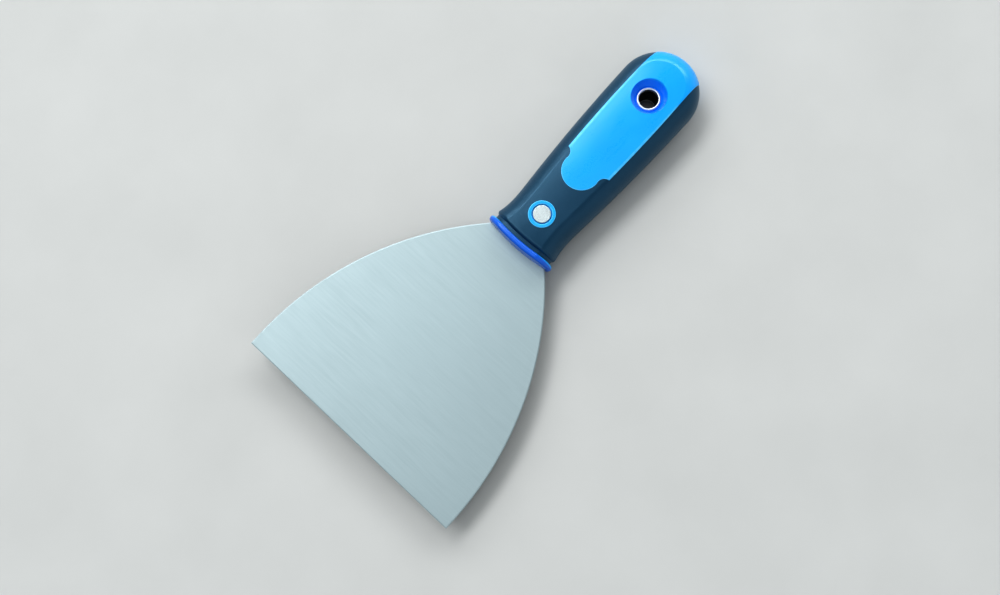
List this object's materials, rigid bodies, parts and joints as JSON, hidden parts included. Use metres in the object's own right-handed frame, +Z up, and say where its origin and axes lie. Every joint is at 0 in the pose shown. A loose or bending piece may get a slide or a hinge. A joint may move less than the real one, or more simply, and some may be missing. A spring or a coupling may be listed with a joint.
{
  "type": "flexible putty knife",
  "caption": "Putty knife: fan-shaped flexible steel blade riveted in a rounded two-colour plastic handle with a soft grip and a steel-lined hanging hole.",
  "frame": {"origin": "under the middle of the knife's bounding box, on the surface it lies on", "axes": "+X from the working edge to the butt of the handle, +Y across the blade, +Z up through the handle's thickness, along the hanging hole"},
  "size_m": [0.2346, 0.125, 0.0234],
  "materials": {
    "blade_steel": "fine satin grind",
    "blue_plastic": "satin moulded polypropylene",
    "navy_grip": "matt soft-touch elastomer",
    "rivet_steel": "turned and satin",
    "eyelet_steel": "bright plated"
  },
  "bodies": {
    "handle": {"core_upper": "blue_plastic", "core_lower": "blue_plastic", "grip_overmould": "navy_grip", "rivet_post": "rivet_steel", "rivet_socket": "rivet_steel", "hang_eyelet": "eyelet_steel", "eyelet_washer": "eyelet_steel"},
    "blade": {"blade": "blade_steel"}
  },
  "joints": [
    {"name": "blade_flex", "type": "hinge", "parent": "handle", "child": "blade", "pos_m": [-0.0043, 0, 0.0117], "axis": [0, 1, 0], "range_deg": [-12, 12], "stiffness_Nm_per_rad": 16.5, "deforming": ["blade"]}
  ]
}
